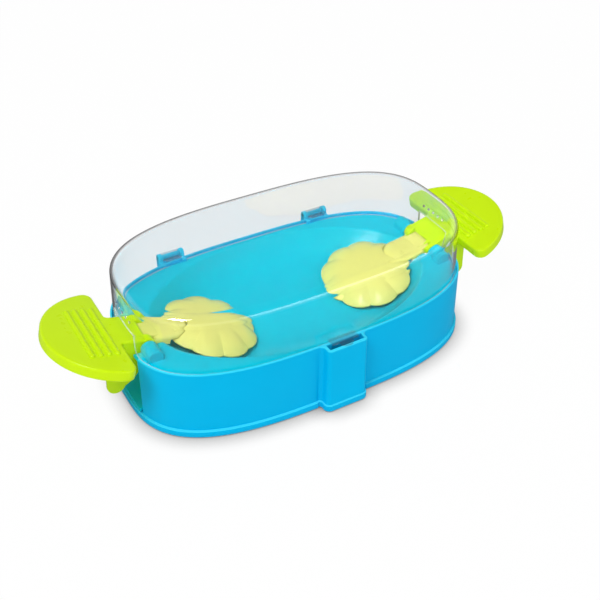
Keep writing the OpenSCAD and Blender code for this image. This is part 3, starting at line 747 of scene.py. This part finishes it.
def paw_shell(lay):
    """Domed paw: top w = 8.6 - 9.6 q^4.2 at share q of the oval 37.8 by 42.6, whose rim is scalloped
    by 1 + 0.07 q^2 (|cos 4.5 t|^0.7 - 0.72); a round scoop up to 1.1 mm deep runs in from each notch;
    a lower copy makes the shell."""
    t = np.linspace(0, 2 * np.pi, 396, endpoint=False)
    lobe = np.abs(np.cos(4.5 * t))
    wave = lobe ** 0.7 - 0.72
    scoop = (1 - lobe ** 2) ** 2

    def ring(q, w, depth):
        """Row at share q and height w, with the scoops sunk by depth."""
        r = q * (1 + 0.07 * q * q * wave)
        return lay(-PAW_U - PAW_A * r * np.cos(t), PAW_B * r * np.sin(t), w - depth * scoop)

    def fade(q):
        """Depth of the scoops: it grows from share 0.42 on and runs out at the rim."""
        return 1.1 * np.clip((q - 0.42) / 0.4, 0, 1) ** 1.5 * np.clip((1.02 - q) / 0.15, 0, 1)

    share = np.concatenate([[0.0], np.linspace(0.06, 0.9, 21), [0.93, 0.955, 0.975, 0.99, 1.0]])
    top = [ring(q, 8.6 - 9.6 * q ** 4.2, fade(q)) for q in share]
    rim = [ring(1.0, -1.9, 0), ring(0.99, -2.45, 0), ring(0.975, -2.6, 0), ring(0.93, -2.6, 0)]
    under = [ring(q, 5.0 - 7.4 * (q / 0.93) ** 4.2, 0) for q in (0.9, 0.8, 0.65, 0.5, 0.35, 0.2, 0.0)]
    return rows_shell(top + rim + under, wrap_rows=False)


def make_paw(name, side):
    """Paw with room for the arm's round end, 0.4 mm wider than the arm, cut off where the bar starts."""
    gap = 0.4
    lay = lever(side)
    paw = placed(name, [paw_shell(lay)], paw_yellow)
    room = arm_outline(gap)
    room[:4, 0] = [20.0, 20.0, -20.2, -20.4]
    room[:2, 1] = [-ARM_HW - gap, ARM_HW + gap]
    cut_away(paw, [slab(room, [(0.0, 0.55), (0.0, 25.0)], lay)])
    block = rectangle(-19.9, 30.0, -60.0, 60.0)
    cut_away(paw, [slab(block, [(0.0, -30.0), (0.0, 30.0)], lay)])
    return paw


for word, side in (("left", -1), ("right", 1)):
    humps = placed(word + "_bearing_humps", [bearing_hump(side, s) for s in (-1, 1)], tray_blue)
    shown(humps, "base", "blue_tray_plastic", word + "_pivot_caps")
    shown(make_paddle(word + "_pedal", side), word + "_lever", "green_plastic", word + "_paddle")
    shown(make_arm(word + "_rocker_arm", side), word + "_lever", "yellow_plastic", word + "_arm")
    shown(make_paw(word + "_paw_scoop", side), word + "_lever", "yellow_plastic", word + "_paw")
    heads = [rivet(lever(side), s) for s in (-1, 1)]
    rivets = placed(word + "_paw_rivet_heads", heads, paw_yellow)
    shown(rivets, word + "_lever", "yellow_plastic", word + "_paw_rivets")


# lid

def lid_shell():
    """Clear dome: the oval carried up a slightly drafted wall, over a 9 mm edge radius and in to the
    middle of the crowned top, then back inside 2 mm lower; at the ends the wall is clamped up to the
    neck opening, whose feet flare out by 8 mm quarter circles."""
    gate, flare = angle_at(NOTCH_HW, -LID_IN), angle_at(NOTCH_HW + FLARE, -LID_IN)
    spans = [(-gate, gate, 13, 1), (gate, flare, 13, 0), (flare, np.pi - flare, 140, 0),
             (np.pi - flare, np.pi - gate, 13, 0), (np.pi - gate, np.pi + gate, 13, 1),
             (np.pi + gate, np.pi + flare, 13, 0), (np.pi + flare, 2 * np.pi - flare, 140, 0),
             (2 * np.pi - flare, 2 * np.pi - gate, 13, 0)]
    t = np.concatenate([np.linspace(a, b, n) for a, b, n, _ in spans])
    open_end = np.concatenate([np.full(n, f) for _, _, n, f in spans]).astype(bool)
    away = np.clip(NOTCH_HW + FLARE - np.abs(oval(t, -LID_IN)[1]), 0, FLARE)
    away = np.where(np.abs(np.cos(t)) > 0.5, away, 0.0)
    floor = np.where(open_end, NOTCH_Z, LID_Z + FLARE - np.sqrt(FLARE ** 2 - away ** 2))
    bend_z = LID_TOP - (LID_EDGE + LID_CROWN)

    def ring(out, z, share=1.0):
        """Row at height z, or at the edge of the opening; share draws it in to the middle."""
        x, y = oval(t, out)
        return xyz(share * x, share * y, np.maximum(z, floor))

    def skin(depth, foot):
        """Rows from the foot to the middle of the top, depth inside the outer face."""
        r = LID_EDGE - depth
        a = np.linspace(0, np.pi / 2, 11)
        wall = [ring(-LID_IN - depth - LID_DRAFT * k, foot + (bend_z - foot) * k)
                for k in np.linspace(0, 1, 6)]
        bend = [ring(-LID_IN - LID_DRAFT - depth - r * (1 - math.cos(k)), bend_z + r * math.sin(k))
                for k in a]
        crown = [ring(-LID_IN - LID_DRAFT - LID_EDGE,
                      LID_TOP - LID_CROWN - depth + LID_CROWN * (1 - s * s), s)
                 for s in (0.94, 0.85, 0.7, 0.5, 0.3, 0.12, 0.0)]
        return wall + bend[1:] + crown

    outside, inside = skin(0.0, LID_Z + 0.3), skin(LID_WALL, LID_Z + 0.3)
    foot = [ring(-LID_IN - 1.7, LID_Z), ring(-LID_IN - 0.3, LID_Z)]
    return rows_shell(outside + inside[::-1] + foot)


def air_hole(side, i):
    """Round 2.4 mm hole through the end wall above the neck opening."""
    line = arc(HOLE_PITCH * i, NOTCH_Z + HOLE_UP, HOLE_R, 0, 360, 25)[:-1]
    return slab(line, [(0.0, side * (HALF_L - 18)), (0.0, side * (HALF_L + 6))], along_x)


def hinge_knuckle(s):
    """Eye round the hinge pin, with a strap to the lid wall."""
    root = float(oval_y(HINGE_X + KNUCKLE_HW, -LID_IN)) - 1.0
    strap = [[root, HINGE_Z + EYE_R], [root, HINGE_Z + 0.2], [HINGE_Y - EYE_R, HINGE_Z + 0.2]]
    line = np.vstack([arc(HINGE_Y, HINGE_Z, EYE_R, -180, 90, 25), strap])
    x = s * HINGE_X
    return slab(line, soft_ends(x - KNUCKLE_HW, x + KNUCKLE_HW, 0.4), along_x)


def latch_tongue():
    """Springy tongue that drops into the latch pocket, the bridge over the rim and the half-round
    thumb tab."""
    hw = TONGUE_HW
    tongue = rectangle(-hw, hw, -TONGUE_Y, -86.6)
    bridge = np.vstack([arc(0, -TONGUE_Y, TAB_R, 180, 360, 25),
                        [[hw, -TONGUE_Y], [hw, -80.2], [-hw, -80.2], [-hw, -TONGUE_Y]]])
    return [slab(tongue, [(0.3, 44.0), (0.0, 44.6), (0.0, 62.38)], xyz),
            slab(bridge, [(0.3, 62.4), (0.0, 62.7), (0.0, 63.8), (0.4, 64.2)], xyz)]


def satin_faces(mesh):
    """Gives the second material to the lid's cut edge: faces that look down and the jambs of the neck
    openings, all of them below the openings' top."""
    count = len(mesh.polygons)
    facing, middle = np.empty(count * 3), np.empty(count * 3)
    mesh.polygons.foreach_get("normal", facing)
    mesh.polygons.foreach_get("center", middle)
    facing, middle = facing.reshape(-1, 3), middle.reshape(-1, 3) / MM
    at_end = np.abs(middle[:, 0]) > 120
    at_gate = np.abs(middle[:, 1] - FRAME_Y) < NOTCH_HW + 9.5
    jamb = (np.abs(facing[:, 0]) < 0.5) & at_end & at_gate
    rim = (jamb | (facing[:, 2] < -0.6)) & (middle[:, 2] < NOTCH_Z + 1.0)
    mesh.polygons.foreach_set("material_index", rim.astype(np.int32))


lid = placed("clear_lid", [lid_shell()], lid_clear)
cut_away(lid, [air_hole(s, i) for s in (-1, 1) for i in range(-2, 3)])
lid.data.materials.append(satin_edge())
satin_faces(lid.data)
shown(lid, "lid", "clear_plastic", "lid")
fitting_shells = [hinge_knuckle(s) for s in (-1, 1)] + latch_tongue()
fittings = placed("lid_fittings", fitting_shells, fitting_clear)
shown(fittings, "lid", "clear_plastic", "lid")


# pieces kept as the frame has them
kept = {"base_plate": tub_blue, "hinge_pins": tub_blue, "feet": rubber, "base_screws": steel}
for word in ("left", "right"):
    kept.update({word + "_axle": steel, word + "_cap_screws": steel, word + "_arm_screws": steel})
for name, material in kept.items():
    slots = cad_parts[name].data.materials
    slots.clear()
    slots.append(material)


# studio

def direct_view(tree, path):
    """1 for what the eye sees itself, through the clear lid or mirrored in a gloss, 0 for soft light."""
    seen = add(tree, "ShaderNodeMath",
               {0: path.outputs["Is Camera Ray"], 1: path.outputs["Is Transmission Ray"]},
               operation="MAXIMUM")
    both = add(tree, "ShaderNodeMath", {0: seen.outputs[0], 1: path.outputs["Is Glossy Ray"]},
               operation="MAXIMUM")
    return both.outputs[0]


def white_table():
    """Flat white ground, darker in reflections, with a painted contact shadow: ambient occlusion dims its
    glow within 18 mm of what stands on it.
    """
    span = np.linspace(-6, 6, 13)
    gx, gy = np.meshgrid(span, span)
    points = np.stack([gx, gy, np.zeros_like(gx)], -1).reshape(-1, 3)
    mesh = bpy.data.meshes.new("table")
    mesh.from_pydata(points.tolist(), [], grid_faces(len(span), len(span)).tolist())
    table = bpy.data.objects.new("table", mesh)
    bpy.context.collection.objects.link(table)
    material, tree = fresh("paper_white")
    matt = add(tree, "ShaderNodeBsdfDiffuse", {"Color": linear("#f4f4f4")})
    path = add(tree, "ShaderNodeLightPath")
    level = add(tree, "ShaderNodeMapRange",
                {"Value": path.outputs["Glossy Depth"], "To Min": 1.0, "To Max": 0.22})
    # painted contact shadow: ambient occlusion darkens the floor's glow close to the toy
    near = add(tree, "ShaderNodeAmbientOcclusion", {"Distance": 0.018}, samples=8)
    foot = add(tree, "ShaderNodeMath", {0: level.outputs["Result"], 1: near.outputs["AO"]},
               operation="MULTIPLY")
    glow = add(tree, "ShaderNodeEmission", {"Color": (1, 1, 1, 1), "Strength": foot.outputs[0]})
    part = add(tree, "ShaderNodeMath", {0: direct_view(tree, path), 1: 0.97}, operation="MULTIPLY")
    mix = add(tree, "ShaderNodeMixShader",
              {0: part.outputs[0], 1: matt.outputs["BSDF"], 2: glow.outputs["Emission"]})
    add(tree, "ShaderNodeOutputMaterial", {"Surface": mix.outputs["Shader"]})
    mesh.materials.append(material)


def white_room():
    """Walls without end under a dark ceiling, a little darker in reflections; what is seen straight
    through the lid stays white."""
    world = bpy.data.worlds.new("white_room")
    bpy.context.scene.world = world
    world.use_nodes = True
    tree = world.node_tree
    tree.nodes.clear()
    path = add(tree, "ShaderNodeLightPath")
    room = add(tree, "ShaderNodeBackground", {"Color": (1, 1, 1, 1), "Strength": 0.5})
    place = add(tree, "ShaderNodeTexCoord").outputs["Generated"]
    way = add(tree, "ShaderNodeSeparateXYZ", {"Vector": place})
    wall = add(tree, "ShaderNodeMapRange",
               {"Value": way.outputs["Z"], "From Min": 0.36, "From Max": 0.52,
                "To Min": 1.0, "To Max": 0.20})
    dim = add(tree, "ShaderNodeMapRange",
              {"Value": path.outputs["Glossy Depth"], "To Min": 1.0, "To Max": 0.8})
    wall = add(tree, "ShaderNodeMath", {0: wall.outputs["Result"], 1: dim.outputs["Result"]},
               operation="MULTIPLY")
    through = add(tree, "ShaderNodeMath",
                  {0: path.outputs["Ray Depth"], 1: path.outputs["Transmission Depth"], 2: 0.5},
                  operation="COMPARE")
    sky = add(tree, "ShaderNodeMath", {0: wall.outputs[0], 1: through.outputs[0]},
              operation="MAXIMUM")
    white = add(tree, "ShaderNodeBackground", {"Color": (1, 1, 1, 1), "Strength": sky.outputs[0]})
    mix = add(tree, "ShaderNodeMixShader",
              {0: direct_view(tree, path), 1: room.outputs["Background"],
               2: white.outputs["Background"]})
    add(tree, "ShaderNodeOutputWorld", {"Surface": mix.outputs["Shader"]})


def lamp(name, place, size, power):
    """Flat rectangular lamp, in metres and watts, turned to the middle of the toy."""
    data = bpy.data.lights.new(name, "AREA")
    data.shape = "RECTANGLE"
    data.size, data.size_y = size
    data.energy = power
    obj = bpy.data.objects.new(name, data)
    obj.location = place
    aim = Vector((0, 0, 0.05)) - Vector(place)
    obj.rotation_euler = aim.to_track_quat("-Z", "Y").to_euler()
    bpy.context.collection.objects.link(obj)


def camera():
    """Pinhole camera at the photograph's angle: 55.7 mm lens on a 36 mm square frame, 0.79 m away."""
    data = bpy.data.cameras.new("camera")
    data.lens = LENS
    data.sensor_width = SENSOR
    data.clip_start = 0.01
    obj = bpy.data.objects.new("camera", data)
    turn = Vector(CAMERA_LOOK).to_track_quat("-Z", "Y").to_matrix()
    turn = turn @ Matrix.Rotation(CAMERA_ROLL, 3, "Z")
    obj.matrix_world = Matrix.Translation(CAMERA_AT) @ turn.to_4x4()
    bpy.context.collection.objects.link(obj)
    bpy.context.scene.camera = obj


white_table()
white_room()
# one lamp high at the left front, a weaker, lower strip at the right front
lamp("key_lamp", (-1.50, -0.70, 2.60), (0.9, 0.9), 48.0)
lamp("right_lamp", (0.85, -1.55, 0.95), (2.0, 0.6), 7.8)
camera()
bpy.context.scene.view_settings.view_transform = "Standard"
